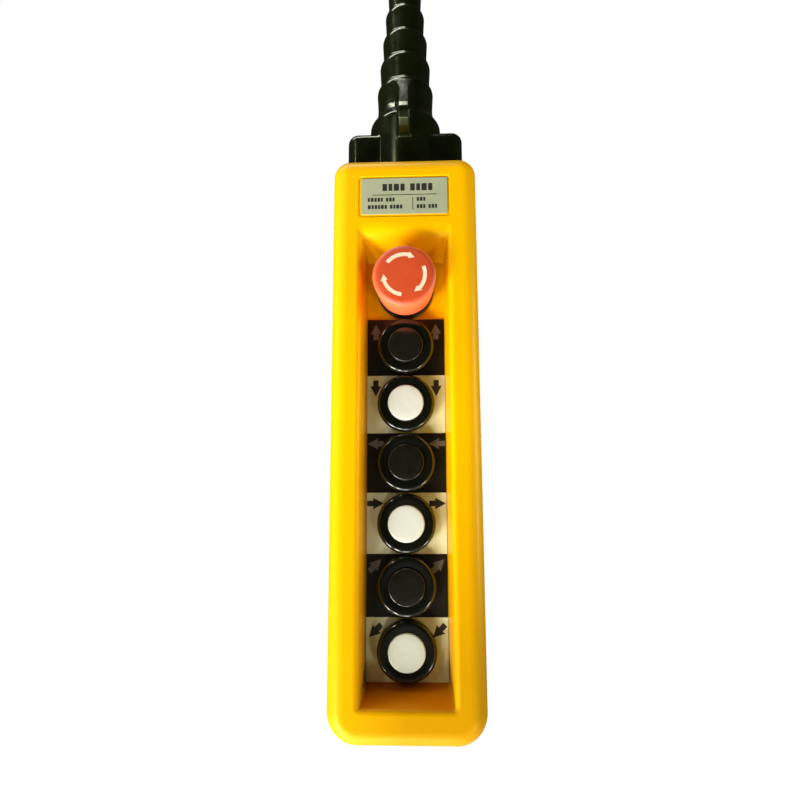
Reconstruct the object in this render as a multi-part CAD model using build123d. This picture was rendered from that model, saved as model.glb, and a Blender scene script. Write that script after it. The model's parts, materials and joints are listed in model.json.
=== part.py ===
"""Pendant control station: a hand-held push-button box that hangs from its cable.

Millimetres. +Z is up, the buttons face -Y, and the origin is the centre of the sleeve's
mouth, where the cable comes in, so the whole station hangs below it.
Each physical piece is written to parts/NAME.step.
"""

import math
import os

from build123d import *

# --- driving dimensions -------------------------------------------------------------------
PITCH = 30.0  # from one operator to the next
BUTTONS = ("up", "down", "left", "right", "forward", "reverse")  # from the top down

BODY_WIDTH = 76.0  # at the parting plane
FACE_WIDTH = 73.5  # at the front and back faces, before rounding
BODY_DEPTH = 62.0
BODY_HEIGHT = 286.0
WALL = 2.8
TOP_CORNER = 8.8
BOTTOM_CORNER = 14.5
RIM_ROUND = 8.0
RIM_INNER_ROUND = 2.8
SCOOP_ROUND = 9.0  # of the recess's upper end, where a thumb reaches the stop
BACK_ROUND = 6.0

SLEEVE_RISE = 155.6  # from the body's top to the sleeve's mouth
FLARE = ((20.0, 31.5), (19.85, 33.2), (19.4, 34.3), (18.7, 35.4), (17.8, 36.7), (16.7, 38.5), (16.1, 40.6))
NECK = ((15.7, 42.4), (15.6, 46.0))  # like the flare: radius and height above the body
TIERS = 7
TIER_PITCH = 16.6
TIER_RADIUS = 16.1  # of the lowest tier's rim
TIER_STEP = 1.55  # each rim's radius is this much less than the one below it
LOWEST_RIM = 55.2  # above the body
SHOULDER = ((0.0, 0.0), (0.25, 1.4), (0.8, 2.5), (1.5, 3.2), (2.2, 3.6))  # inward and upward from a rim
EYE_Y = -25.5
EYE_RISE = 26.1  # above the body
EYE_RADIUS = 3.5
EYE_HALF = 3.0  # half of the fin's thickness round the eye
FIN_ROOT_HALF = 5.3  # and where it joins the column
FIN = [(-14.0, 56.0), (-16.2, 54.8), (-22.0, 45.6), (-27.5, 36.6), (-30.6, 31.0), (-32.2, 27.4)]
FIN += [(-32.0, 25.2), (-29.8, 22.4), (-26.0, 20.0), (-22.5, 18.4), (-20.0, 17.6), (-14.0, 18.6)]  # y, height
CABLE_RADIUS = 4.5
MOUTH_LENGTH = 16.0  # the length of sleeve that grips the cable

RIM_HEIGHT = 18.0  # the rim stands this far in front of the legend plates
PLATE = 0.6
PLATE_WIDTH = 40.0
RECESS_HALF = 20.2
RECESS_CORNER = 1.2
SIDE_DRAFT, TOP_DRAFT, BOTTOM_DRAFT = 0.107, 0.51, 0.33  # of the recess's walls

# --- places worked out from them ----------------------------------------------------------
FRONT_Y = -BODY_DEPTH / 2
BACK_Y = BODY_DEPTH / 2
PANEL_Y = FRONT_Y + RIM_HEIGHT  # front face of the legend plates
RECESS_DEPTH = RIM_HEIGHT + PLATE
BODY_TOP = -SLEEVE_RISE
BODY_BOTTOM = BODY_TOP - BODY_HEIGHT
ESTOP_Z = BODY_TOP - 67.4
BUTTON_Z = {name: ESTOP_Z - PITCH * (i + 1) for i, name in enumerate(BUTTONS)}
OPERATOR_Z = [ESTOP_Z, *BUTTON_Z.values()]
RECESS_TOP = ESTOP_Z + 16.3
RECESS_BOTTOM = OPERATOR_Z[-1] - PITCH / 2 - 0.5

# Heights h along an operator's axis: h = 0 on the legend plates, positive towards the hand.
FLOOR = -PLATE
FLOOR_BACK = FLOOR - WALL
BARREL_END = -12.0
BARREL_RADIUS = 10.9
STEM_RADIUS = 4.0
STEM_END = -15.0
BLOCK_FRONT = -18.0
BLOCK_BACK = -35.0
REAR_INSIDE = -(BACK_Y - WALL - PANEL_Y)
RUNNING = 0.05  # radial clearance of a moving stem in its guide

BLOCK_HALF_X = 17.0
BLOCK_HALF_Z = 13.5
CAVITY_HALF_X = 10.5
CAVITY_HALF_Z = 4.6
TERMINAL_X = 14.0
BLOCK_SCREW_X = 13.2
BLOCK_SCREW_Z = 9.3
PLATE_METAL = 1.0  # thickness of the contact metal
NO_CONTACT_TOP = -28.2  # fixed contacts of a button's block, which closes when pushed
NC_CONTACT_TOP = -22.9  # fixed contacts of the stop's block, which opens when pushed
NO_BAR_TOP = -23.0
NC_BAR_TOP = -24.0

COVER_SCREWS = [(x, BODY_TOP - drop) for x in (-31.0, 31.0) for drop in (15.0, 140.0, 270.0)]
CLAMP_Z = BODY_TOP - 24.0
CLAMP_SCREW_X = 12.0
NAMEPLATE = (44.0, 19.4)
NAMEPLATE_Z = BODY_TOP - 22.4
SEAM = 0.4  # chamfer on each shell's outer edge at the parting plane
GASKET = 1.2  # width of the seal's section
GASKET_INSET = 0.8  # from the body's outside to the seal
GASKET_HALF = 1.0  # how far the seal reaches into each shell
NECK_HALF_X, NECK_HALF_Y = 26.0, 12.0  # of the sleeve's neck, where it goes through the body's top
NECK_GAP = 0.2  # between the neck and the shells


# --- helpers --------------------------------------------------------------------------------
def front_plane(y, z=0.0, x=0.0):
    """A sketch plane facing the hand: its x is the row's X and its y is the row's Z."""
    return Plane(origin=(x, y, z), x_dir=(1, 0, 0), z_dir=(0, -1, 0))


def operator_plane(z):
    return front_plane(PANEL_Y, z)


def rod(radius, low, high, x=0.0, y=0.0):
    """A cylinder along local z from low to high."""
    return Pos(x, y, low) * Cylinder(radius, high - low, align=(Align.CENTER, Align.CENTER, Align.MIN))


def block(half_x, half_y, low, high, x=0.0, y=0.0):
    """A box along local z from low to high."""
    base = (Align.CENTER, Align.CENTER, Align.MIN)
    return Pos(x, y, low) * Box(2 * half_x, 2 * half_y, high - low, align=base)


def turned(points):
    """A solid of revolution about local z, from a closed outline of (radius, height)."""
    profile = Polyline(*[(r, 0, h) for r, h in points], close=True)
    return revolve(make_face(profile), axis=Axis.Z)


def outline(width, inset=0.0):
    """The body's front outline as a sketch, drawn about the middle of its height."""
    half_x = width / 2 - inset
    half_z = BODY_HEIGHT / 2 - inset
    sketch = Rectangle(2 * half_x, 2 * half_z)
    top = sketch.vertices().group_by(Axis.Y)[-1]
    sketch = fillet(top, TOP_CORNER - inset)
    bottom = sketch.vertices().group_by(Axis.Y)[0]
    return fillet(bottom, BOTTOM_CORNER - inset)


def half_body(face_y, rounding, inset=0.0):
    """From the parting plane to the face at face_y, drafted, with the face's edge rounded."""
    middle = BODY_TOP - BODY_HEIGHT / 2
    face_y -= math.copysign(inset, face_y)
    seam_face = front_plane(0, middle) * outline(BODY_WIDTH, inset)
    end_face = front_plane(face_y, middle) * outline(FACE_WIDTH, inset)
    solid = loft([seam_face, end_face], ruled=True)
    face_edges = solid.faces().sort_by(Axis.Y)[0 if face_y < 0 else -1].edges()
    return fillet(face_edges, rounding - inset)


def write(name, shape):
    """Writes one node, as a compound of its solids."""
    solids = shape.solids() if hasattr(shape, "solids") else [s for one in shape for s in one.solids()]
    piece = solids[0] if len(solids) == 1 else Compound(children=list(solids))
    piece.label = name
    export_step(piece, f"parts/{name}.step")


# --- enclosure ------------------------------------------------------------------------------
def flared(depth, draft, radius):
    """How far a recess wall stands out from its foot, at a depth behind the front face.

    The wall leans out by draft for each millimetre of height and ends in a round of the given
    radius, tangent to the face.
    """
    lean = math.atan(draft)
    reach = radius * math.tan((math.pi / 2 - lean) / 2)
    if depth >= reach * math.cos(lean):
        return draft * (RECESS_DEPTH - depth)
    return draft * RECESS_DEPTH + reach - math.sqrt(radius**2 - (radius - depth) ** 2)


def recess_outline(depth, side, top, bottom, corner):
    """The recess's outline at a depth behind the front face, grown from its foot by three amounts."""
    high, low = RECESS_TOP + top, RECESS_BOTTOM - bottom
    sketch = RectangleRounded(2 * (RECESS_HALF + side), high - low, corner)
    return front_plane(FRONT_Y + depth, (high + low) / 2) * sketch


def recess_section(depth):
    side = flared(depth, SIDE_DRAFT, RIM_INNER_ROUND)
    top = flared(depth, TOP_DRAFT, SCOOP_ROUND)
    bottom = flared(depth, BOTTOM_DRAFT, RIM_INNER_ROUND)
    corner = RECESS_CORNER + side - SIDE_DRAFT * (RECESS_DEPTH - depth)
    return recess_outline(depth, side, top, bottom, corner)


def recess_tool():
    """The channel the buttons sit in: wider and longer at the rim than at its floor."""
    angles = (60, 52, 44, 37, 30, 24, 18, 12, 7, 3, 0)
    depths = [SCOOP_ROUND * (1 - math.cos(math.radians(angle))) for angle in angles]
    tool = loft([recess_section(RECESS_DEPTH), recess_section(depths[0])], ruled=True)
    tool += loft([recess_section(depth) for depth in depths])
    return tool + extrude(recess_section(0.0), 1.0)


def recess_void():
    """What the inside of the front shell keeps clear of: the recess and the wall round it."""
    front = RECESS_DEPTH + 1.0
    drafts = [draft * front + WALL for draft in (SIDE_DRAFT, TOP_DRAFT, BOTTOM_DRAFT)]
    foot = recess_outline(RECESS_DEPTH + WALL, WALL, WALL, WALL, RECESS_CORNER + WALL)
    return loft([foot, recess_outline(-1.0, *drafts, RECESS_CORNER + WALL)], ruled=True)


def screw_posts(radius, y_from, y_to):
    low, high = sorted((-y_from, -y_to))
    return [front_plane(0, z, x) * rod(radius, low, high) for x, z in COVER_SCREWS]


def neck_opening():
    """The rectangular way through the body's top, half in each shell, that the sleeve's neck fills."""
    half_x, half_y = NECK_HALF_X + NECK_GAP, NECK_HALF_Y + NECK_GAP
    return block(half_x, half_y, BODY_TOP - WALL - 1, BODY_TOP + 1)


def gasket_ring():
    """The seal in the parting joint, half of its section in each shell."""
    middle = BODY_TOP - BODY_HEIGHT / 2
    outer = outline(BODY_WIDTH, GASKET_INSET)
    inner = outline(BODY_WIDTH, GASKET_INSET + GASKET)
    return extrude(front_plane(GASKET_HALF, middle) * (outer - inner), 2 * GASKET_HALF)


def soften_seam(shell):
    """Chamfers the outer edge at the parting plane, so that the joint shows as a fine groove."""
    seam_faces = [f for f in shell.faces() if abs(f.center().Y) < 1e-6 and abs(f.normal_at().Y) > 0.99]
    edges = []
    for edge in ShapeList([e for f in seam_faces for e in f.outer_wire().edges()]):
        middle = edge.center()
        outside_x = abs(middle.X) > BODY_WIDTH / 2 - 0.01
        outside_z = middle.Z < BODY_BOTTOM + 0.01
        if outside_x or outside_z:
            edges.append(edge)
    return chamfer(edges, SEAM)


def front_shell():
    inside = half_body(FRONT_Y, RIM_ROUND, WALL)
    inside -= recess_void()
    shell = half_body(FRONT_Y, RIM_ROUND) - inside
    post_reach = FRONT_Y + WALL - 0.5
    trimmed = half_body(FRONT_Y, RIM_ROUND, 1.0)
    for post in screw_posts(4.6, post_reach, 0):
        shell += post & trimmed
    shell -= recess_tool()
    shell -= neck_opening()
    shell -= gasket_ring()
    for pilot in screw_posts(1.45, -13.0, 0):
        shell -= pilot
    for z in OPERATOR_Z:
        shell -= operator_plane(z) * rod(BARREL_RADIUS + 0.2, FLOOR_BACK - 1, FLOOR + 1)
    width, height = NAMEPLATE
    pocket = RectangleRounded(width + 2.4, height + 2.4, 1.6)
    shell -= extrude(front_plane(FRONT_Y + 0.4, NAMEPLATE_Z) * pocket, 0.5, taper=-40)
    return soften_seam(shell)


def rear_shell():
    shell = half_body(BACK_Y, BACK_ROUND) - half_body(BACK_Y, BACK_ROUND, WALL)
    trimmed = half_body(BACK_Y, BACK_ROUND, 1.0)
    for post in screw_posts(4.9, 0, BACK_Y - WALL + 0.5):
        shell += post & trimmed
    for z in OPERATOR_Z:
        for side in (-1, 1):
            boss = rod(3.4, REAR_INSIDE - 0.5, BLOCK_BACK, side * BLOCK_SCREW_X, side * BLOCK_SCREW_Z)
            pilot = rod(1.3, BLOCK_BACK - 5.5, BLOCK_BACK, side * BLOCK_SCREW_X, side * BLOCK_SCREW_Z)
            shell += operator_plane(z) * boss
            shell -= operator_plane(z) * pilot
    shell += clamp_posts()
    shell -= neck_opening()
    shell -= gasket_ring()
    for head_way in screw_posts(3.6, 10.0, BACK_Y + 1):
        shell -= head_way
    for shank_way in screw_posts(1.8, -1, 11.0):
        shell -= shank_way
    return soften_seam(shell)


def clamp_posts():
    """The cradle that the cable lies in and the two posts that its clamp is screwed to."""
    place = front_plane(0, CLAMP_Z)
    depth = BACK_Y - WALL + 0.5
    cradle = block(6.8, 5.0, -depth, -2.5) - Rot(90, 0, 0) * rod(5.6, -6, 6)
    posts = place * cradle
    for side in (-1, 1):
        posts += place * rod(3.8, -depth, -1.0, side * CLAMP_SCREW_X)
        posts -= place * rod(1.3, -9.5, -1.0, side * CLAMP_SCREW_X)
    return posts


def cable_clamp():
    """A saddle over the cable: a half ring with an ear on each side."""
    half = 5.0
    ring = rod(8.2, -half, half) - rod(5.6, -half, half)
    ring &= block(9.0, 9.0, -half, half, 0, -9.0)
    ears = block(16.0, 1.5, -half, half, 0, -0.5) - rod(5.6, -half, half)
    saddle = ring + ears
    saddle = Pos(0, 0, CLAMP_Z) * saddle
    for side in (-1, 1):
        saddle -= front_plane(0, CLAMP_Z) * rod(1.6, -2, 3, side * CLAMP_SCREW_X)
    return saddle


def sleeve_profile(wall):
    """The stepped cone as (radius, height) from the bottom up, with a wall taken off its radius."""
    points = [(radius - wall, BODY_TOP + height) for radius, height in (*FLARE, *NECK)]
    for tier in range(TIERS):
        radius = TIER_RADIUS - TIER_STEP * tier - wall
        rim = BODY_TOP + LOWEST_RIM + TIER_PITCH * tier
        points.append((radius - 0.2, rim - 3.0))
        points += [(radius - inward, rim + upward) for inward, upward in SHOULDER if rim + upward < 0]
    points.append((radius - 0.6, 0.0))
    return points


def cable_sleeve():
    """The stepped rubber sleeve with its foot, the flange that the shells trap, and its eye."""
    outer = sleeve_profile(0.0)
    column = turned([(0, BODY_TOP + 0.15), (20.0, BODY_TOP + 0.15), *outer, (0, 0.0)])
    foot = block(31.6, 15.0, BODY_TOP + 0.15, BODY_TOP + 24.6)
    foot = fillet(foot.edges().filter_by(Axis.Z), 5.8)
    foot = fillet(foot.faces().sort_by(Axis.Z)[-1].edges(), 5.0)
    neck = block(NECK_HALF_X, NECK_HALF_Y, BODY_TOP - WALL - 0.2, BODY_TOP + 0.15)
    flange = block(29.0, 15.0, BODY_TOP - WALL - 4.2, BODY_TOP - WALL - 0.2)
    sleeve = column + foot + neck + flange + suspension_fin()
    inner = [(r, h - 1.2) for r, h in sleeve_profile(2.4) if h < -MOUTH_LENGTH]
    foot_way = [(0, BODY_TOP + 6), (17.0, BODY_TOP + 6)]
    sleeve -= turned([*foot_way, *inner, (CABLE_RADIUS, -MOUTH_LENGTH), (0, -MOUTH_LENGTH)])
    sleeve -= block(22.0, 9.5, BODY_TOP - WALL - 5, BODY_TOP + 12)
    sleeve -= rod(CABLE_RADIUS, -MOUTH_LENGTH - 1, 1)
    sleeve -= eye_hole()
    return sleeve


def eye_hole():
    return Pos(0, EYE_Y, BODY_TOP + EYE_RISE) * Rot(0, 90, 0) * Cylinder(EYE_RADIUS, 30)


def suspension_fin():
    """The fin on the sleeve's front, with a hole for the wire that carries the station's weight."""
    side = Plane(origin=(-FIN_ROOT_HALF, 0, 0), x_dir=(0, 1, 0), z_dir=(1, 0, 0))
    profile = Polyline(*[(y, BODY_TOP + height) for y, height in FIN], close=True)
    fin = extrude(side * make_face(profile), 2 * FIN_ROOT_HALF)
    half_plan = [(FIN_ROOT_HALF, -14.0), (EYE_HALF, EYE_Y + EYE_RADIUS + 0.2), (EYE_HALF, -34.0)]
    plan = Polyline(*half_plan, *[(-x, y) for x, y in reversed(half_plan)], close=True)
    return fin & Pos(0, 0, BODY_TOP) * extrude(make_face(plan), 60.0)


def pan_head_screw(head_radius, head_height, shank_radius, length):
    """Head on top of local z = 0, shank below it, with a cross recess."""
    head = rod(head_radius, 0, head_height)
    head = fillet(head.edges().sort_by(Axis.Z)[-1], head_height * 0.45)
    cross = block(head_radius * 0.62, 0.35, head_height * 0.45, head_height + 1)
    cross += block(0.35, head_radius * 0.62, head_height * 0.45, head_height + 1)
    return head - cross + rod(shank_radius, -length, 0)


def cover_screws():
    """Heads sunk in the rear shell, shanks in the front shell's posts."""
    screw = pan_head_screw(3.1, 2.4, 1.4, 20.0)
    return [Plane(origin=(x, 10.0, z), x_dir=(1, 0, 0), z_dir=(0, 1, 0)) * screw for x, z in COVER_SCREWS]


def inner_screws():
    """The same small screw holds the contact blocks and the cable clamp."""
    screw = pan_head_screw(2.7, 2.2, 1.25, 8.0)
    places = [
        operator_plane(z) * Pos(side * BLOCK_SCREW_X, side * BLOCK_SCREW_Z, BLOCK_BACK + 3.0)
        for z in OPERATOR_Z
        for side in (-1, 1)
    ]
    places += [front_plane(-2.0, CLAMP_Z, side * CLAMP_SCREW_X).location for side in (-1, 1)]
    return [place * screw for place in places]


def nameplate():
    width, height = NAMEPLATE
    plate = extrude(front_plane(FRONT_Y + 0.4, NAMEPLATE_Z) * RectangleRounded(width, height, 0.6), PLATE)
    return plate


def legend_plate(z):
    plate = extrude(front_plane(PANEL_Y + PLATE, z) * RectangleRounded(PLATE_WIDTH, PITCH - 0.1, 0.3), PLATE)
    return plate - operator_plane(z) * rod(BARREL_RADIUS + 0.2, -2, 2)


# --- push-button operators --------------------------------------------------------------------
def operator_body():
    body = rod(12.8, 0, 2.0) + rod(BARREL_RADIUS, BARREL_END, 0)
    body -= rod(9.6, -0.5, 3)
    body -= rod(7.6, -5.0, 3)
    return body - rod(STEM_RADIUS + RUNNING, BARREL_END - 1, 0)


def operator_nut():
    low = FLOOR_BACK - 4.0
    nut = extrude(Pos(0, 0, low) * RegularPolygon(14.4, 6), 4.0)
    return nut - rod(BARREL_RADIUS + 0.1, low - 1, FLOOR_BACK + 1)


def boot():
    """The rubber cover between the legend plate and the cap: skirt, shoulder, web and inner lip."""
    points = [(12.9, 0), (14.4, 0), (14.4, 3.0), (14.1, 4.3), (13.3, 5.3), (12.2, 5.9), (11.0, 6.0)]
    points += [(9.15, 5.6), (9.15, 5.15), (7.4, 5.15), (7.4, 4.1), (10.6, 4.1), (12.9, 2.8)]
    return turned(points)


def cap():
    """The coloured disc, with the stub that snaps into the plunger."""
    points = [(0, 1.5), (2.4, 1.5), (2.4, 5.2), (9.0, 5.2), (9.0, 6.6), (8.6, 7.0), (0, 7.3)]
    return turned(points)


def plunger():
    points = [(0, STEM_END), (2.6, STEM_END), (2.6, -13.6), (5.0, -13.6), (4.6, BARREL_END - 0.02)]
    points += [(STEM_RADIUS, BARREL_END - 0.02), (STEM_RADIUS, 3.4), (7.3, 3.4), (7.3, 5.15), (0, 5.15)]
    return turned(points) - rod(2.45, -1.0, 6)


def coil_spring(radius, wire_radius, low, high, turns):
    """A compression spring along local z, whose wire stays between low and high."""
    height = high - low - 2 * wire_radius - 0.1
    path = Pos(0, 0, low + wire_radius + 0.05) * Helix(height / turns, height, radius)
    section = Plane(origin=path @ 0, z_dir=path % 0) * Circle(wire_radius)
    return sweep(section, path=path)


# --- contact blocks -----------------------------------------------------------------------------
def fixed_contact(side, top):
    """One terminal: the contact inside the block and the tail under its screw."""
    inner, outer = 6.3, 16.5
    metal = block((outer - inner) / 2, 3.0, top - PLATE_METAL, top, side * (inner + outer) / 2)
    return metal - rod(1.35, top - 2, top + 1, side * TERMINAL_X)


def contact_block(top):
    """The moulding: a cavity for the moving bridge, a bay for each terminal, two screw ways."""
    body = block(BLOCK_HALF_X, BLOCK_HALF_Z, BLOCK_BACK, BLOCK_FRONT)
    body = chamfer(body.edges().filter_by(Axis.Z), 1.0)
    body -= block(CAVITY_HALF_X, CAVITY_HALF_Z, BLOCK_BACK + 2.0, BLOCK_FRONT - 2.5)
    body -= rod(2.75, BLOCK_FRONT - 3, BLOCK_FRONT + 1)
    for side in (-1, 1):
        bay = block(3.25, CAVITY_HALF_Z, top - PLATE_METAL, BLOCK_FRONT + 1, side * 14.75)
        body -= bay
        body -= block(1.0, 3.0, top - PLATE_METAL, top, side * 11.0)
        body -= rod(1.35, top - 6.5, top, side * TERMINAL_X)
        screw_x, screw_y = side * BLOCK_SCREW_X, side * BLOCK_SCREW_Z
        body -= rod(3.0, BLOCK_BACK + 3.0, BLOCK_FRONT + 1, screw_x, screw_y)
        body -= rod(1.6, BLOCK_BACK - 1, BLOCK_BACK + 4, screw_x, screw_y)
    return body


def contact_bridge(bar_top):
    """The moving contact: a bar on its carrier, whose post the plunger pushes."""
    carrier = rod(2.6, -20.6, STEM_END) + block(3.5, 3.5, -26.5, -20.6)
    bar = block(9.5, 2.0, bar_top - PLATE_METAL, bar_top)
    return [carrier - bar, bar]


def terminal_screws():
    screw = pan_head_screw(2.4, 2.0, 1.3, 5.5)
    tops = [NC_CONTACT_TOP] + [NO_CONTACT_TOP] * len(BUTTONS)
    return [
        operator_plane(z) * Pos(side * TERMINAL_X, 0, top) * screw
        for z, top in zip(OPERATOR_Z, tops)
        for side in (-1, 1)
    ]


# --- emergency stop -----------------------------------------------------------------------------
def estop_collar():
    """The stop's fixed body: a flange on the shell's floor, a hub, and the threaded barrel."""
    points = [(0, BARREL_END), (BARREL_RADIUS, BARREL_END), (BARREL_RADIUS, FLOOR), (14.6, FLOOR)]
    points += [(14.6, 0.4), (14.0, 1.0), (9.6, 1.0), (9.4, 4.9), (0, 4.9)]
    collar = turned(points)
    collar -= rod(8.0, -5.0, 6)
    return collar - rod(5.0 + RUNNING, BARREL_END - 1, 0)


def estop_stem():
    points = [(0, STEM_END), (2.6, STEM_END), (2.6, -13.6), (6.2, -13.6), (5.8, BARREL_END - 0.02)]
    points += [(5.0, BARREL_END - 0.02), (5.0, 3.0), (7.5, 3.0), (7.5, 4.5), (5.0, 4.5)]
    points += [(5.0, 20.0), (0, 20.0)]
    return turned(points)


def estop_head():
    """The mushroom: a slightly flared cup that turns on the stem."""
    points = [(10.5, 5.2), (13.9, 5.2), (14.3, 5.6), (15.6, 23.6), (15.4, 24.8), (14.7, 25.7), (13.6, 26.1)]
    points += [(0, 26.4), (0, 20.05), (5.0 + RUNNING, 20.05), (5.0 + RUNNING, 12.0), (7.0, 12.0)]
    points += [(7.0, 17.0), (10.5, 17.0)]
    return turned(points)


# --- all the pieces -------------------------------------------------------------------------------
def build():
    os.makedirs("parts", exist_ok=True)
    write("front_shell", front_shell())
    write("rear_shell", rear_shell())
    write("shell_gasket", gasket_ring() - neck_opening())
    write("cable_sleeve", cable_sleeve())
    write("cable_clamp", cable_clamp())
    write("cover_screws", cover_screws())
    write("inner_screws", inner_screws())
    write("nameplate", nameplate())

    write("operator_bodies", [operator_plane(z) * operator_body() for z in BUTTON_Z.values()])
    write("operator_nuts", [operator_plane(z) * operator_nut() for z in OPERATOR_Z])
    for name, z in BUTTON_Z.items():
        place = operator_plane(z)
        write(f"legend_{name}", legend_plate(z))
        write(f"boot_{name}", place * boot())
        write(f"cap_{name}", place * cap())
        write(f"plunger_{name}", place * plunger())
        write(f"spring_{name}", place * coil_spring(5.6, 0.35, -5.0, 3.4, 4.5))
        write(f"contact_block_{name}", place * contact_block(NO_CONTACT_TOP))
        write(f"contact_bridge_{name}", [place * one for one in contact_bridge(NO_BAR_TOP)])

    stop = operator_plane(ESTOP_Z)
    write("estop_collar", stop * estop_collar())
    write("estop_stem", stop * estop_stem())
    write("estop_head", stop * estop_head())
    write("estop_spring", stop * coil_spring(6.4, 0.3, -5.0, 3.0, 3.5))
    write("estop_contact_block", stop * contact_block(NC_CONTACT_TOP))
    write("estop_contact_bridge", [stop * one for one in contact_bridge(NC_BAR_TOP)])

    contacts = [stop * fixed_contact(side, NC_CONTACT_TOP) for side in (-1, 1)]
    for z in BUTTON_Z.values():
        contacts += [operator_plane(z) * fixed_contact(side, NO_CONTACT_TOP) for side in (-1, 1)]
    write("fixed_contacts", contacts)
    write("terminal_screws", terminal_screws())


build()
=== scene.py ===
"""Looks of the pendant control station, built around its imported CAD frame.

Metres. +Z is up, the buttons face -Y, and the origin is the mouth of the cable sleeve.
"""

import json
import math

import bmesh
import bpy
from mathutils import Matrix, Vector


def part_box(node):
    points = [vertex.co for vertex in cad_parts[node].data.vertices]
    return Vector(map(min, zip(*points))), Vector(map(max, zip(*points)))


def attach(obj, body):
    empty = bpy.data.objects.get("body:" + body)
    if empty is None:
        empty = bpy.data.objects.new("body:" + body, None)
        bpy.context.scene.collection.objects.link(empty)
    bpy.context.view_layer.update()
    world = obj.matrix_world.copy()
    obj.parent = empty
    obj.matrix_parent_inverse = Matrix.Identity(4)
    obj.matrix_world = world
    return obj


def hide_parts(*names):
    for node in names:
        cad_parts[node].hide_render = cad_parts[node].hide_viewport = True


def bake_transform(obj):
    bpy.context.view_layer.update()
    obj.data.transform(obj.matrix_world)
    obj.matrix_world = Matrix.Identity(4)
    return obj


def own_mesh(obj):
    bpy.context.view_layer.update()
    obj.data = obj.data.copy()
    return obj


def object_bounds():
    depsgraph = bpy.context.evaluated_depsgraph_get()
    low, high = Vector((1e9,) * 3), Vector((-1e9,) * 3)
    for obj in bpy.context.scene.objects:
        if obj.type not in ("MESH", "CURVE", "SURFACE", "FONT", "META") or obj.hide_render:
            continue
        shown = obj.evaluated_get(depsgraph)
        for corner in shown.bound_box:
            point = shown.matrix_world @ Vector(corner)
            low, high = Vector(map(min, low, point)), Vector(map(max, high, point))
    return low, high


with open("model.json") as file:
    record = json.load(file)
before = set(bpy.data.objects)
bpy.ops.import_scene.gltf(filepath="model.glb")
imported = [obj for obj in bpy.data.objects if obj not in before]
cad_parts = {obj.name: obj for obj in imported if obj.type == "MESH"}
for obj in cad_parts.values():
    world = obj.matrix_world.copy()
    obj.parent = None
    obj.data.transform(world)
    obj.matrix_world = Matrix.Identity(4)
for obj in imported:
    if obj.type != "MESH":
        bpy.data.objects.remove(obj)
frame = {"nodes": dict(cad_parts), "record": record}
cad_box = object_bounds()

MM = 0.001
HOUSING = "housing"
STOP_HEAD = "stop_head"
BUTTONS = ("up", "down", "left", "right", "forward", "reverse")
DARK = ("up", "left", "forward")  # black legend plates with black caps


# --- places read from the frame -------------------------------------------------------------------
def middle(node):
    low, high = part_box(node)
    return (low + high) / 2


PLATE_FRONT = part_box("legend_up")[0].y  # the operators' heights are measured from here
AXIS = {name: middle(f"legend_{name}").z for name in BUTTONS}
STOP_AXIS = middle("estop_head").z
STACK_MIDDLE = (AXIS["up"] + AXIS["reverse"]) / 2
PITCH = AXIS["up"] - AXIS["down"]


def at(x, height, z):
    """A point x to the right, height in front of the legend plates and z up."""
    return Vector((x, PLATE_FRONT - height, z))


# --- camera, floor and light ----------------------------------------------------------------------
def add_camera():
    """Close to the buttons, a little right of them, tilted up towards the sleeve."""
    camera = bpy.data.objects.new("camera", bpy.data.cameras.new("camera"))
    bpy.context.scene.collection.objects.link(camera)
    camera.data.lens = 26
    camera.data.sensor_width = 36
    camera.data.clip_start = 0.01
    camera.location = at(0.0078, 0.2945, STACK_MIDDLE + 0.0029)
    camera.rotation_euler = (math.radians(98.55), math.radians(0.17), math.radians(2.15))
    bpy.context.scene.camera = camera


def add_softbox(name, around, off_axis, distance, size, power, colour=(1, 1, 1)):
    """A rectangle of light aimed at the buttons.

    around is its direction as seen from the front, anticlockwise from the right, and off_axis
    how far it stands off the line straight out of the buttons, both in degrees. Its long side
    runs along the circle that around is measured on.
    """
    turn, lean = math.radians(around), math.radians(off_axis)
    away = Vector((math.sin(lean) * math.cos(turn), -math.cos(lean), math.sin(lean) * math.sin(turn)))
    along = Vector((-math.sin(turn), 0, math.cos(turn)))
    data = bpy.data.lights.new(name, "AREA")
    data.shape = "RECTANGLE"
    data.size, data.size_y = size
    data.energy = power
    data.color = colour
    light = bpy.data.objects.new(name, data)
    bpy.context.scene.collection.objects.link(light)
    turned = Matrix((along, away.cross(along), away)).transposed().to_4x4()
    light.matrix_world = Matrix.Translation(Vector((0, 0, STACK_MIDDLE)) + distance * away) @ turned


def add_lights():
    """A hard key from the lower left, and weaker lamps around it that model the edges."""
    warm = (1.0, 0.985, 0.92)
    add_softbox("key_low_left", 225, 62, 1.3, (0.50, 0.30), 23.0, warm)
    add_softbox("key_low", 250, 56, 1.3, (0.14, 0.12), 4.5, warm)
    add_softbox("key_low_right", 311, 54, 1.3, (0.20, 0.12), 3.0, warm)
    add_softbox("lamp_high_left", 130, 47, 1.3, (0.10, 0.06), 1.2, warm)
    add_softbox("lamp_overhead", 109, 82, 1.3, (0.85, 0.20), 10.0, warm)
    add_softbox("lamp_below", 268, 64, 1.3, (0.20, 0.30), 3.0, warm)
    add_softbox("edge_left", 178, 78, 0.34, (0.50, 0.12), 0.27, warm)
    add_softbox("fill_left", 168, 66, 0.45, (0.50, 0.25), 0.42, warm)
    add_softbox("fill_low", 245, 82, 1.3, (0.90, 0.40), 11.0, warm)
    add_softbox("fill_right", 5, 80, 1.3, (0.70, 0.40), 10.5, warm)
    add_softbox("fill_back", 90, 160, 1.3, (0.90, 0.70), 12.0, warm)


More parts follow.
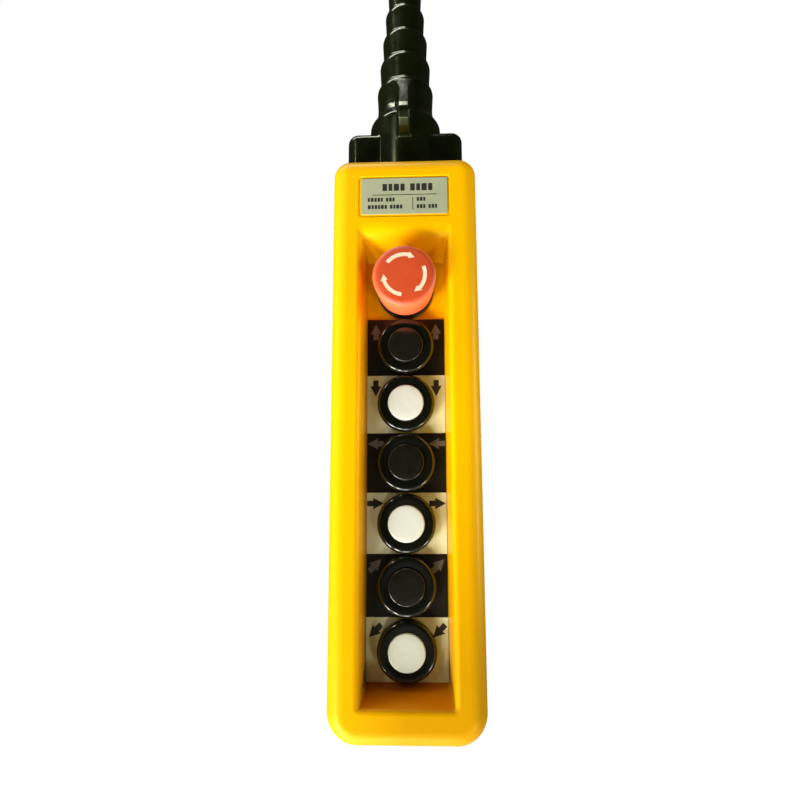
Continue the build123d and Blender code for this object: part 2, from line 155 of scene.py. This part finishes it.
def add_surroundings():
    """A white room to the camera, which lights the object no more than a dim one would."""
    world = bpy.data.worlds.new("studio")
    world.use_nodes = True
    tree = world.node_tree
    room = tree.nodes["Background"]
    room.inputs["Color"].default_value = (1.0, 1.0, 0.8, 1)
    room.inputs["Strength"].default_value = 0.03
    white = tree.nodes.new("ShaderNodeBackground")
    white.inputs["Color"].default_value = (1, 1, 1, 1)
    white.inputs["Strength"].default_value = 1.0
    seen = tree.nodes.new("ShaderNodeLightPath").outputs["Is Camera Ray"]
    both = tree.nodes.new("ShaderNodeMixShader")
    tree.links.new(seen, both.inputs["Fac"])
    tree.links.new(room.outputs["Background"], both.inputs[1])
    tree.links.new(white.outputs["Background"], both.inputs[2])
    tree.links.new(both.outputs["Shader"], tree.nodes["World Output"].inputs["Surface"])
    bpy.context.scene.world = world


def add_floor():
    mesh = bpy.data.meshes.new("floor")
    shape = bmesh.new()
    bmesh.ops.create_circle(shape, cap_ends=True, radius=8.0, segments=64)
    shape.to_mesh(mesh)
    shape.free()
    floor = bpy.data.objects.new("floor", mesh)
    bpy.context.scene.collection.objects.link(floor)
    floor.location.z = cad_box[0][2] - 1.2
    mesh.materials.append(finish_floor())


# --- materials ------------------------------------------------------------------------------------
class Finish:
    """A material that is built up node by node, on patterns measured in metres."""

    def __init__(self, name, **inputs):
        self.material = bpy.data.materials.new(name)
        self.material.use_nodes = True
        self.tree = self.material.node_tree
        self.shader = self.tree.nodes["Principled BSDF"]
        self.normal = None
        for key, value in inputs.items():
            self.shader.inputs[key.replace("_", " ")].default_value = value
        self.place = self.tree.nodes.new("ShaderNodeTexCoord").outputs["Object"]

    def node(self, kind, **settings):
        node = self.tree.nodes.new(kind)
        for key, value in settings.items():
            setattr(node, key, value)
        return node

    def link(self, source, socket):
        self.tree.links.new(source, socket)

    def noise(self, size, detail=3.0, stretch=(1, 1, 1), seed=0.0):
        """Cloudy values from 0 to 1 whose patches are about size across, longer along a stretched axis."""
        mapping = self.node("ShaderNodeMapping")
        mapping.inputs["Scale"].default_value = [1 / (size * s) for s in stretch]
        mapping.inputs["Location"].default_value = (seed, seed * 1.7, seed * 0.3)
        self.link(self.place, mapping.inputs["Vector"])
        noise = self.node("ShaderNodeTexNoise")
        noise.inputs["Scale"].default_value = 1.0
        noise.inputs["Detail"].default_value = detail
        self.link(mapping.outputs["Vector"], noise.inputs["Vector"])
        return noise.outputs["Fac"]

    def spread(self, source, low, high, start=0.3, stop=0.7):
        """Maps start..stop of a pattern to low..high."""
        node = self.node("ShaderNodeMapRange")
        for key, value in (("From Min", start), ("From Max", stop), ("To Min", low), ("To Max", high)):
            node.inputs[key].default_value = value
        self.link(source, node.inputs["Value"])
        return node.outputs["Result"]

    def blend_colours(self, share, first, second):
        node = self.node("ShaderNodeMix", data_type="RGBA")
        for key, colour in (("A", first), ("B", second)):
            socket = [s for s in node.inputs if s.name == key and s.type == "RGBA"][0]
            if hasattr(colour, "is_linked"):
                self.link(colour, socket)
            else:
                socket.default_value = (*colour, 1)
        factor = [s for s in node.inputs if s.name == "Factor" and s.type == "VALUE"][0]
        self.link(share, factor)
        return [s for s in node.outputs if s.type == "RGBA"][0]

    def coordinate(self, output, axis):
        """One coordinate of a place or of a direction."""
        split = self.node("ShaderNodeSeparateXYZ")
        self.link(output, split.inputs["Vector"])
        return split.outputs[axis]

    def place_along(self, axis):
        return self.coordinate(self.place, axis)

    def facing(self, axis):
        return self.coordinate(self.node("ShaderNodeTexCoord").outputs["Normal"], axis)

    def both(self, first, second):
        """Where two patterns from 0 to 1 meet."""
        node = self.node("ShaderNodeMath", operation="MULTIPLY")
        self.link(first, node.inputs[0])
        self.link(second, node.inputs[1])
        return node.outputs["Value"]

    def colour(self, source):
        self.link(source, self.shader.inputs["Base Color"])

    def recolour(self, share, colour):
        """Turns the colour that is already there into another one by a share."""
        present = self.shader.inputs["Base Color"].links[0].from_socket
        self.colour(self.blend_colours(share, present, colour))

    def roughness(self, source):
        self.link(source, self.shader.inputs["Roughness"])

    def bump(self, source, depth):
        """Adds relief whose full depth is given in metres."""
        node = self.node("ShaderNodeBump")
        node.inputs["Strength"].default_value = 1.0
        node.inputs["Distance"].default_value = depth
        self.link(source, node.inputs["Height"])
        if self.normal:
            self.link(self.normal, node.inputs["Normal"])
        self.normal = node.outputs["Normal"]
        self.link(self.normal, self.shader.inputs["Normal"])


def moulded(name, light, dark, gloss, grain, patch=0.03, **inputs):
    """A moulded plastic or rubber: faint mottling, uneven gloss, a soft orange peel and a fine grain."""
    rough_low, rough_high = gloss
    finish = Finish(name, **inputs)
    finish.colour(finish.blend_colours(finish.spread(finish.noise(patch, 4), 0, 1), light, dark))
    finish.roughness(finish.spread(finish.noise(0.006, 5, seed=3.1), rough_low, rough_high))
    finish.bump(finish.noise(0.0025, 2, seed=1.3), grain)
    finish.bump(finish.noise(0.00035, 2, seed=5.9), grain * 0.35)
    return finish


def finish_floor():
    finish = Finish("studio_floor")
    finish.colour(finish.blend_colours(finish.noise(0.4, 3), (0.86, 0.865, 0.86), (0.84, 0.845, 0.84)))
    finish.roughness(finish.spread(finish.noise(0.05, 3), 0.75, 0.9))
    finish.shader.inputs["Emission Color"].default_value = (1, 1, 1, 1)
    seen = finish.node("ShaderNodeLightPath").outputs["Is Camera Ray"]
    finish.link(finish.spread(seen, 0.05, 1.0, 0, 1), finish.shader.inputs["Emission Strength"])
    return finish.material


def finish_shell():
    """Yellow, with painted shade: darker and more orange at the lower right and on the upward-facing ledge
    at the recess's lower end.
    """
    finish = moulded("shell_yellow", (0.96, 0.485, 0.0), (0.92, 0.46, 0.0), (0.32, 0.40), 12e-6,
                     Specular_IOR_Level=0.3, Specular_Tint=(1.0, 0.93, 0.12, 1))
    height, lowest = finish.place_along("Z"), AXIS["reverse"]
    # painted shade: a darker, more orange tone towards the bottom and the right, where less light falls
    low = finish.spread(height, 1, 0, lowest - 0.007, lowest + 0.113)
    right = finish.spread(finish.place_along("X"), 0.4, 1, -0.03, 0.0)
    finish.recolour(finish.both(low, right), (0.56, 0.265, 0.0))
    # painted shade: upward faces near the bottom, the recess's lower ledge, turn dark orange as if in
    # shadow
    low = finish.spread(height, 1, 0, lowest + 0.003, lowest + 0.043)
    upward = finish.spread(finish.facing("Z"), 0, 1, 0.5, 0.9)
    finish.recolour(finish.both(low, upward), (0.50, 0.15, 0.0))
    return finish.material


def finish_rubber():
    """The sleeve's rubber, black with a faint green in its gloss."""
    return moulded("sleeve_rubber", (0.003, 0.005, 0.001), (0.006, 0.008, 0.002), (0.16, 0.24),
                   9e-6, 0.008, Specular_IOR_Level=0.38, Specular_Tint=(0.88, 1.0, 0.6, 1)).material


def finish_boot():
    """The boots' rubber, smoother and glossier than the sleeve's."""
    return moulded("boot_rubber", (0.003, 0.0035, 0.0015), (0.005, 0.0055, 0.003), (0.10, 0.16),
                   3e-6, 0.004, Specular_IOR_Level=0.75).material


def finish_cap(dark):
    """Black caps are all alike; the white ones get painted shade, greyer towards the lowest."""
    if dark:
        return moulded("cap_black", (0.006, 0.006, 0.003), (0.009, 0.009, 0.005), (0.16, 0.24),
                       5e-6, 0.003, Specular_IOR_Level=0.7).material
    finish = moulded("cap_white", (0.73, 0.745, 0.665), (0.69, 0.705, 0.615), (0.25, 0.36), 3e-6, 0.005)
    # painted shade: the white caps turn greyer towards the bottom of the stack
    low = finish.spread(finish.place_along("Z"), 1, 0, AXIS["reverse"] - 0.007, AXIS["reverse"] + 0.073)
    finish.recolour(low, (0.54, 0.56, 0.45))
    return finish.material


def finish_stop():
    """Red, with painted light making the side paler than the face."""
    finish = moulded("stop_red", (0.62, 0.072, 0.014), (0.57, 0.06, 0.012), (0.42, 0.52), 9e-6, 0.008)
    # painted light: surfaces turned away from the front, the side, get a paler red
    finish.recolour(finish.spread(finish.facing("Y"), 0, 1, -0.9, -0.4), (0.86, 0.17, 0.06))
    return finish.material


def finish_print(name, colour, worn):
    """Printed ink, rubbed thin in places."""
    finish = Finish(name)
    rubbed = finish.spread(finish.noise(0.0012, 5), 0, 1, 0.35, 0.75)
    finish.colour(finish.blend_colours(rubbed, colour, worn))
    finish.roughness(finish.spread(finish.noise(0.002, 3), 0.4, 0.6))
    finish.bump(finish.noise(0.0003, 2), 2e-6)
    return finish.material


def brushed(name, light, dark, gloss, metallic=1.0, along=(40, 1, 1), cloud=(0.007, (1, 1, 1))):
    """Metal with fine lines along one axis and clouds of uneven polish, given as size and stretch; on the
    silver legends the clouds are a painted reflection of the yellow housing.
    """
    finish = Finish(name, Metallic=metallic)
    lines = finish.noise(0.00012, 3, stretch=along)
    patches = finish.noise(cloud[0], 4, stretch=cloud[1], seed=2.7)
    finish.colour(finish.blend_colours(finish.spread(patches, 0, 1), light, dark))
    finish.roughness(finish.spread(lines, *gloss))
    finish.bump(lines, 1.5e-6)
    return finish.material


def finish_legend(dark):
    if dark:
        return brushed("legend_black", (0.004, 0.003, 0.0012), (0.007, 0.0055, 0.002), (0.28, 0.4), 0.0)
    # tall upright clouds of gold on the champagne silver: a painted reflection of the yellow walls
    painted_reflection_clouds = (0.012, (1, 1, 6))
    return brushed("legend_silver", (0.96, 1.0, 0.76), (0.70, 0.69, 0.29), (0.34, 0.44), 0.2,
                   cloud=painted_reflection_clouds)


def plain_finishes():
    """What the CAD pieces that stay visible, or that the housing hides, are made of."""
    inner = moulded("inner_plastic", (0.014, 0.014, 0.014), (0.022, 0.022, 0.021), (0.4, 0.5), 8e-6, 0.01)
    phenolic = moulded("block_plastic", (0.03, 0.027, 0.024), (0.05, 0.043, 0.036), (0.35, 0.5), 8e-6)
    carrier = moulded("carrier_plastic", (0.42, 0.03, 0.02), (0.36, 0.025, 0.02), (0.35, 0.5), 5e-6)
    zinc = brushed("zinc_steel", (0.62, 0.61, 0.57), (0.50, 0.49, 0.45), (0.28, 0.42), along=(1, 1, 1))
    wire = brushed("spring_wire", (0.5, 0.5, 0.5), (0.42, 0.42, 0.42), (0.25, 0.35), along=(1, 1, 1))
    nut = brushed("turned_aluminium", (0.72, 0.72, 0.72), (0.64, 0.64, 0.64), (0.25, 0.4), along=(6, 1, 6))
    brass = brushed("contact_brass", (0.78, 0.53, 0.2), (0.68, 0.44, 0.15), (0.25, 0.4), along=(8, 1, 1))
    plate = brushed("name_plate", (0.52, 0.56, 0.36), (0.47, 0.51, 0.33), (0.42, 0.55), 0.35)
    return {
        "shell_yellow": finish_shell(),
        "rubber_black": finish_rubber(),
        "zinc_steel": zinc,
        "spring_steel": wire,
        "aluminium_nut": nut,
        "name_plate": plate,
        "legend_black": finish_legend(True),
        "legend_silver": finish_legend(False),
        "cap_black": finish_cap(True),
        "cap_white": finish_cap(False),
        "stop_red": finish_stop(),
        "inner_plastic": inner.material,
        "block_plastic": phenolic.material,
        "carrier_plastic": carrier.material,
        "contact_brass": brass,
    }


def dress_cad_nodes(finishes):
    slots = {part["node"]: part["material_slot"] for part in frame["record"]["subparts"]}
    for node, piece in frame["nodes"].items():
        piece.data.materials.clear()
        piece.data.materials.append(finishes[slots[node]])


# --- mesh helpers ---------------------------------------------------------------------------------
def add_piece(name, shape, finish, body, sharp=35):
    """Turns a bmesh into a smooth-shaded object that rides on a body."""
    bmesh.ops.recalc_face_normals(shape, faces=shape.faces)
    for face in shape.faces:
        face.smooth = True
    for edge in shape.edges:
        edge.smooth = edge.calc_face_angle(0.0) < math.radians(sharp)
    mesh = bpy.data.meshes.new(name)
    shape.to_mesh(mesh)
    shape.free()
    mesh.materials.append(finish)
    piece = bpy.data.objects.new(name, mesh)
    bpy.context.scene.collection.objects.link(piece)
    if body:
        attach(piece, body)
    return piece


def rounded(corners, steps=6):
    """An outline of (radius, height, rounding) corners in millimetres, each rounding drawn as an arc."""
    points = []
    count = len(corners)
    for i, (x, y, rounding) in enumerate(corners):
        corner = Vector((x, y))
        if not rounding:
            points.append(corner)
            continue
        to_last = (Vector(corners[i - 1][:2]) - corner).normalized()
        to_next = (Vector(corners[(i + 1) % count][:2]) - corner).normalized()
        half = to_last.angle(to_next) / 2
        reach = rounding / math.tan(half)
        centre = corner + (to_last + to_next).normalized() * rounding / math.sin(half)
        start = corner + to_last * reach - centre
        stop = corner + to_next * reach - centre
        sweep = start.angle_signed(stop)
        for step in range(steps + 1):
            points.append(centre + Matrix.Rotation(-sweep * step / steps, 2) @ start)
    return [(p.x * MM, p.y * MM) for p in points]


def lathe(outline, place, segments=96):
    """Turns a closed outline; place says where a point at some radius, angle and height goes."""
    shape = bmesh.new()
    step = 2 * math.pi / segments
    rings = []
    for radius, height in outline:
        count = segments if radius > 1e-7 else 1  # a point on the axis needs only one
        rings.append([shape.verts.new(place(radius, step * i, height)) for i in range(count)])
    for lower, upper in zip(rings, rings[1:] + rings[:1]):
        if len(lower) == len(upper) == 1:
            continue
        for i in range(segments):
            j = (i + 1) % segments
            corners = [lower[i % len(lower)], lower[j % len(lower)]]
            corners += [upper[j % len(upper)], upper[i % len(upper)]]
            shape.faces.new(list(dict.fromkeys(corners)))
    return shape


def operator_lathe(outline, z, segments=96):
    """Turns an outline of radius and height about an operator's axis."""
    return lathe(outline, lambda r, a, h: at(r * math.cos(a), h, z + r * math.sin(a)), segments)


def raise_print(shape, outline, centre, height, thickness=0.05 * MM):
    """Adds a flat figure of printed ink that stands on a surface facing the hand."""
    x, z = centre
    front = [shape.verts.new(at(x + px, height + thickness, z + pz)) for px, pz in outline]
    back = [shape.verts.new(at(x + px, height - 0.01 * MM, z + pz)) for px, pz in outline]
    shape.faces.new(front)
    shape.faces.new(list(reversed(back)))
    for i in range(len(outline)):
        j = (i + 1) % len(outline)
        shape.faces.new([front[j], front[i], back[i], back[j]])


# --- cable sleeve ---------------------------------------------------------------------------------
# Lengths here are in millimetres, and heights are over the housing. Half sizes are in x and y.
FOOT_GAP = 0.2  # under the foot and the column
COLUMN_RADIUS = 20
CABLE_RADIUS = 4.5
BORE_END = 26  # how far down the cable's bore is cut
FLARE = [(20, 31.5), (19.85, 33.2), (19.4, 34.3), (18.7, 35.4), (17.8, 36.7), (16.7, 38.5), (16.1, 40.6)]
NECK = [(15.7, 42.4), (15.6, 46)]  # like the flare: radius and height
TIERS = 7
TIER_PITCH = 16.6
TIER_RADIUS = 16.1  # of the lowest tier's rim
TIER_STEP = 1.55  # each rim's radius is this much less than the one below it
LOWEST_RIM = 55.2
SHOULDER = [(0, 0), (0.25, 1.4), (0.8, 2.5), (1.5, 3.2), (2.2, 3.6)]  # inward and upward from a rim
FOOT_HALF = (31.6, 15.0)
FOOT_HEIGHT = 24.6
NECK_HALF = (25.8, 11.8)  # where the sleeve goes through the housing's top
FLANGE_HALF = (28.8, 14.8)  # of the flange below the neck
WALL = 3.2  # from the housing's top down to the flange
FLANGE = 3.6  # the flange's thickness
FIN = [(-14, 56), (-16.2, 54.8), (-22, 45.6), (-27.5, 36.6), (-30.6, 31), (-32.2, 27.4), (-32, 25.2)]
FIN += [(-29.8, 22.4), (-26, 20), (-22.5, 18.4), (-20, 17.6), (-14, 18.6)]  # its side: y and height
FIN_SPREAD = 0.3  # how much thicker on each side, for each millimetre behind the eye
SKIN_VOXEL = 0.45


def fuse(shapes, voxel, rounds):
    """Melts overlapping closed shapes into one skin, with soft edges and soft inner corners."""
    source = bpy.data.meshes.new("fused")
    whole = bmesh.new()
    for shape in shapes:
        part = bpy.data.meshes.new("part")
        shape.to_mesh(part)
        shape.free()
        whole.from_mesh(part)
    whole.to_mesh(source)
    whole.free()
    holder = bpy.data.objects.new("fused", source)
    bpy.context.scene.collection.objects.link(holder)
    remesh = holder.modifiers.new("remesh", "REMESH")
    remesh.mode = "VOXEL"
    remesh.voxel_size = voxel
    smooth = holder.modifiers.new("smooth", "SMOOTH")
    smooth.factor = 0.5
    smooth.iterations = rounds
    skin = bpy.data.meshes.new_from_object(holder.evaluated_get(bpy.context.evaluated_depsgraph_get()))
    bpy.data.objects.remove(holder)
    fused = bmesh.new()
    fused.from_mesh(skin)
    return fused


def sleeve_cone(top):
    """The round column, its flare and the seven tiers above it, with a bore from the mouth down."""
    points = [(0, FOOT_GAP), (COLUMN_RADIUS, FOOT_GAP), *FLARE, *NECK]
    for tier in range(TIERS):
        radius = TIER_RADIUS - TIER_STEP * tier
        rim = LOWEST_RIM + TIER_PITCH * tier
        points.append((radius - 0.2, rim - 3))  # the rim's lower edge
        points += [(radius - inward, rim + upward) for inward, upward in SHOULDER if rim + upward < -top]
    points += [(radius - 0.6, -top), (CABLE_RADIUS, -top), (CABLE_RADIUS, BORE_END), (0, BORE_END)]
    outline = [(radius * MM, (top + height) * MM) for radius, height in points]
    return lathe(outline, lambda r, a, h: Vector((r * math.cos(a), r * math.sin(a), h)), 128)


def round_edges(shape, edges, radius):
    bmesh.ops.bevel(shape, geom=edges, offset=radius * MM, segments=8, profile=0.5, affect="EDGES")


def sleeve_box(half_x, half_y, low, high, side_round=0.0, top_round=0.0):
    """A block about the cable's axis, with its upright edges and its top rounded."""
    shape = bmesh.new()
    size = Vector((2 * half_x, 2 * half_y, high - low)) * MM
    middle_height = Matrix.Translation((0, 0, (low + high) / 2 * MM))
    bmesh.ops.create_cube(shape, size=1, matrix=middle_height @ Matrix.Diagonal((*size, 1)))
    if side_round:
        upright = [e for e in shape.edges if abs(e.verts[0].co.z - e.verts[1].co.z) > size.z / 2]
        round_edges(shape, upright, side_round)
    if top_round:
        rim = [e for e in shape.edges if min(v.co.z for v in e.verts) > high * MM - 1e-6]
        round_edges(shape, rim, top_round)
    return shape


def sleeve_fin(top, eye, radius, half):
    """The fin on the sleeve's front, with a round eye through it, thicker where it joins the column."""
    corners = [Vector((y, top + height)) for y, height in FIN]
    outer = [a.lerp(b, i / 5) for a, b in zip(corners, corners[1:] + corners[:1]) for i in range(5)]
    hole = [eye + radius * (point - eye).normalized() for point in outer]
    shape = bmesh.new()

    def loop(points, side):
        spread = [half + max(0, p.x - eye.x - radius) * FIN_SPREAD for p in points]
        return [shape.verts.new((side * x * MM, p.x * MM, p.y * MM)) for x, p in zip(spread, points)]

    loops = [loop(outer, -1), loop(outer, 1), loop(hole, 1), loop(hole, -1)]
    for first, second in zip(loops, loops[1:] + loops[:1]):
        for i in range(len(outer)):
            j = (i + 1) % len(outer)
            shape.faces.new([first[i], first[j], second[j], second[i]])
    return shape


def add_sleeve(finish):
    """The rubber sleeve: its foot on the housing, the neck and flange inside, the tiers and the fin."""
    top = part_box("front_shell")[1].z / MM
    mount = [m for m in frame["record"]["mounts"] if m["name"] == "suspension_eye"][0]
    eye = Vector(mount["pos_m"][1:]) / MM
    shapes = [
        sleeve_cone(top),
        sleeve_box(*FOOT_HALF, top + FOOT_GAP, top + FOOT_HEIGHT, side_round=5.8, top_round=5.0),
        sleeve_box(*NECK_HALF, top - WALL, top + 0.4),
        sleeve_box(*FLANGE_HALF, top - WALL - FLANGE, top - WALL),
        sleeve_fin(top, eye, mount["dims"]["r_mm"], mount["dims"]["length_mm"] / 2),
    ]
    skin = fuse(shapes, SKIN_VOXEL * MM, 5)
    sleeve = add_piece("sleeve", skin, finish, HOUSING, 80)
    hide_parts("cable_sleeve")


# --- legends --------------------------------------------------------------------------------------
ARROW_TURN = {"up": 0, "down": 180, "left": 90, "right": -90, "forward": -45, "reverse": 135}
ARROW_OFFSET = 15.6 * MM  # from the plate's middle to each arrow's
ARROW_MARGIN = 2.5 * MM  # from the plate's top edge to the arrows' highest point


def arrow_outline(turn):
    """A stout arrow that points up, turned anticlockwise by some degrees."""
    half_stem, half_head, length, neck = 1.35, 2.85, 8.4, 2.9
    low = -length / 2
    points = [(0, low + length), (-half_head, low + neck)]
    points += [(-half_stem, low + neck + 0.35), (-half_stem, low)]
    points += [(-x, y) for x, y in reversed(points[1:])]
    spin = Matrix.Rotation(math.radians(turn), 2)
    turned = [spin @ Vector(p) for p in points]
    return [(p.x * MM, p.y * MM) for p in turned]


def add_legend_arrows(finishes):
    """A pair of arrows on each plate, dark ones on silver and grey ones on black."""
    for name in BUTTONS:
        shape = bmesh.new()
        arrow = arrow_outline(ARROW_TURN[name])
        top = AXIS[name] + PITCH / 2 - ARROW_MARGIN - max(z for x, z in arrow)
        for side in (-1, 1):
            raise_print(shape, arrow, (side * ARROW_OFFSET, top), 0)
        dark = name in DARK
        ink = finishes["print_grey"] if dark else finishes["print_black"]
        add_piece(f"arrows_{name}", shape, ink, HOUSING)


# --- name plate -----------------------------------------------------------------------------------
def rectangle(width, height):
    x, z = width / 2, height / 2
    return [(-x, -z), (x, -z), (x, z), (-x, z)]


def add_name_plate_print(finish):
    """Two thin rules, and rows of plain blocks where a maker's data would stand."""
    low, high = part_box("nameplate")
    face = PLATE_FRONT - low.y
    shape = bmesh.new()

    def block(left, top, width, height):
        centre = (low.x + (left + width / 2) * MM, high.z - (top + height / 2) * MM)
        raise_print(shape, rectangle(width * MM, height * MM), centre, face, 0.03 * MM)

    def row(left, top, height, words):
        for letters in words:
            for i in range(letters):
                width = height * (0.62, 0.5, 0.7, 0.56)[(i + letters) % 4]
                block(left, top, width, height)
                left += width + height * 0.2
            left += height * 0.55

    block(5.8, 8.9, 32.8, 0.35)
    block(26.2, 10.6, 0.35, 6.8)
    row(10.9, 3.1, 3.8, (4, 4))
    row(3.4, 10.6, 2.1, (5, 3))
    row(3.4, 14.5, 2.1, (6, 4))
    row(28.4, 10.6, 2.1, (3,))
    row(28.4, 14.5, 2.1, (3, 3))
    add_piece("name_plate_print", shape, finish, HOUSING)


# --- buttons --------------------------------------------------------------------------------------
def add_boot(name, finish):
    """The fixed ring of the boot, and the skin inside it."""
    z = AXIS[name]
    ring = [(12.95, 0.02, 0), (14.55, 0.02, 0.2), (14.55, 5.95, 2.1)]
    ring += [(11.30, 5.72, 0), (11.30, 2.4, 0), (12.95, 2.4, 0)]
    turned_ring = operator_lathe(rounded(ring), z)
    outer = add_piece(f"boot_ring_{name}", turned_ring, finish, HOUSING)
    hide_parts(f"boot_{name}")
    skin = [(9.12, 5.45, 0.25), (11.28, 5.72, 0), (11.28, 2.2, 0)]
    skin += [(10.9, 2.2, 0), (10.7, 4.9, 0.3), (9.12, 4.9, 0)]
    turned_skin = operator_lathe(rounded(skin, 4), z)
    inner = add_piece(f"boot_skin_{name}", turned_skin, finish, None)
    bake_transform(inner)
    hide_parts(f"boot_{name}")


def add_cap(name, finishes):
    """The cap: a disc with a soft edge and a slight crown, and its stub."""
    slot = "cap_black" if name in DARK else "cap_white"
    disc = [(0, 1.5, 0), (2.4, 1.5, 0), (2.4, 5.2, 0), (9.0, 5.2, 0.1)]
    disc += [(9.0, 6.85, 0.65), (6.0, 7.1, 20), (0, 7.2, 0)]
    turned_disc = operator_lathe(rounded(disc), AXIS[name])
    cap = add_piece(f"cap_face_{name}", turned_disc, finishes[slot], f"button_{name}")
    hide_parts(f"cap_{name}")


def add_spring(name, node, z, finish, wire, turns):
    """A coil of wire in place of the CAD spring, filling its box."""
    low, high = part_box(node)
    back, front = PLATE_FRONT - high.y, PLATE_FRONT - low.y
    radius = (high.x - low.x) / 2 - wire
    shape = bmesh.new()
    sides, steps = 8, int(turns * 28)
    last = None
    for step in range(steps + 1):
        share = step / steps
        angle = 2 * math.pi * turns * share
        height = back + wire + (front - back - 2 * wire) * share
        ring = []
        for side in range(sides):
            around = 2 * math.pi * side / sides
            reach = radius + wire * math.cos(around)
            lift = wire * math.sin(around)
            place = at(reach * math.cos(angle), height + lift, z + reach * math.sin(angle))
            ring.append(shape.verts.new(place))
        if last:
            for side in range(sides):
                other = (side + 1) % sides
                shape.faces.new([last[side], last[other], ring[other], ring[side]])
        else:
            shape.faces.new(ring)
        last = ring
    shape.faces.new(list(reversed(last)))
    spring = add_piece(name, shape, finish, HOUSING)
    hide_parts(node)
    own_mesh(spring)


# --- emergency stop -------------------------------------------------------------------------------
STOP_ARROWS = 3
FIRST_STOP_ARROW = 143  # where it starts, in degrees anticlockwise from the right
# the head's outline from the middle of its face to its back: radius, height and rounding
STOP_FACE = [(0, 26.4, 0), (8.0, 26.35, 40), (14.2, 26.05, 3.0), (15.6, 24.2, 1.8), (14.25, 5.2, 0.6)]


def add_stop(finishes):
    """The mushroom head, hollow behind, and the printed arrows that turn with it."""
    under = [(10.5, 5.2, 0.4), (10.5, 17.0, 0), (7.0, 17.0, 0)]
    under += [(7.0, 12.0, 0), (5.06, 12.0, 0), (5.06, 20.05, 0)]
    outline = rounded([*STOP_FACE, *under, (0, 20.05, 0)])
    turned_head = operator_lathe(outline, STOP_AXIS, 128)
    head = add_piece("stop_button", turned_head, finishes["stop_red"], STOP_HEAD)
    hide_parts("estop_head")
    shape = bmesh.new()
    for arrow in range(STOP_ARROWS):
        curved_arrow(shape, math.radians(FIRST_STOP_ARROW - 360 / STOP_ARROWS * arrow))
    add_piece("stop_arrows", shape, finishes["print_cream"], STOP_HEAD)


def curved_arrow(shape, start):
    """A band that runs clockwise from start and ends in a head, lying on the stop's face."""
    mid, half_band, half_head = 10.2 * MM, 0.95 * MM, 1.75 * MM
    sweep, head_sweep, steps = math.radians(66), math.radians(18), 14
    face = 26.37 * MM

    def place(radius, angle):
        return (radius * math.cos(angle), radius * math.sin(angle))

    ends = [start - sweep * i / steps for i in range(steps + 1)]
    outer = [place(mid + half_band, a) for a in ends]
    inner = [place(mid - half_band, a) for a in reversed(ends)]
    tip = place(mid - 0.2 * MM, start - sweep - head_sweep)
    head = [place(mid + half_head, ends[-1]), tip, place(mid - half_head, ends[-1])]
    raise_print(shape, [*outer, *head, *inner], (0, STOP_AXIS), face)


# --- the scene ------------------------------------------------------------------------------------
def build():
    finishes = plain_finishes()
    finishes["print_grey"] = finish_print("print_grey", (0.17, 0.17, 0.155), (0.11, 0.11, 0.10))
    finishes["print_black"] = finish_print("print_black", (0.012, 0.012, 0.010), (0.03, 0.028, 0.022))
    finishes["print_cream"] = finish_print("print_cream", (0.90, 0.72, 0.52), (0.82, 0.60, 0.40))
    boot = finish_boot()
    wire_finish = finishes["spring_steel"]
    dress_cad_nodes(finishes)
    add_camera()
    add_lights()
    add_surroundings()
    add_floor()
    add_sleeve(finishes["rubber_black"])
    add_legend_arrows(finishes)
    add_name_plate_print(finishes["print_black"])
    for name in BUTTONS:
        add_boot(name, boot)
        add_cap(name, finishes)
        add_spring(f"return_coil_{name}", f"spring_{name}", AXIS[name],
                   wire_finish, 0.35 * MM, 4.5)
    add_stop(finishes)
    add_spring("stop_coil", "estop_spring", STOP_AXIS, wire_finish, 0.3 * MM, 3.5)


build()
bpy.context.scene.view_settings.view_transform = "Standard"
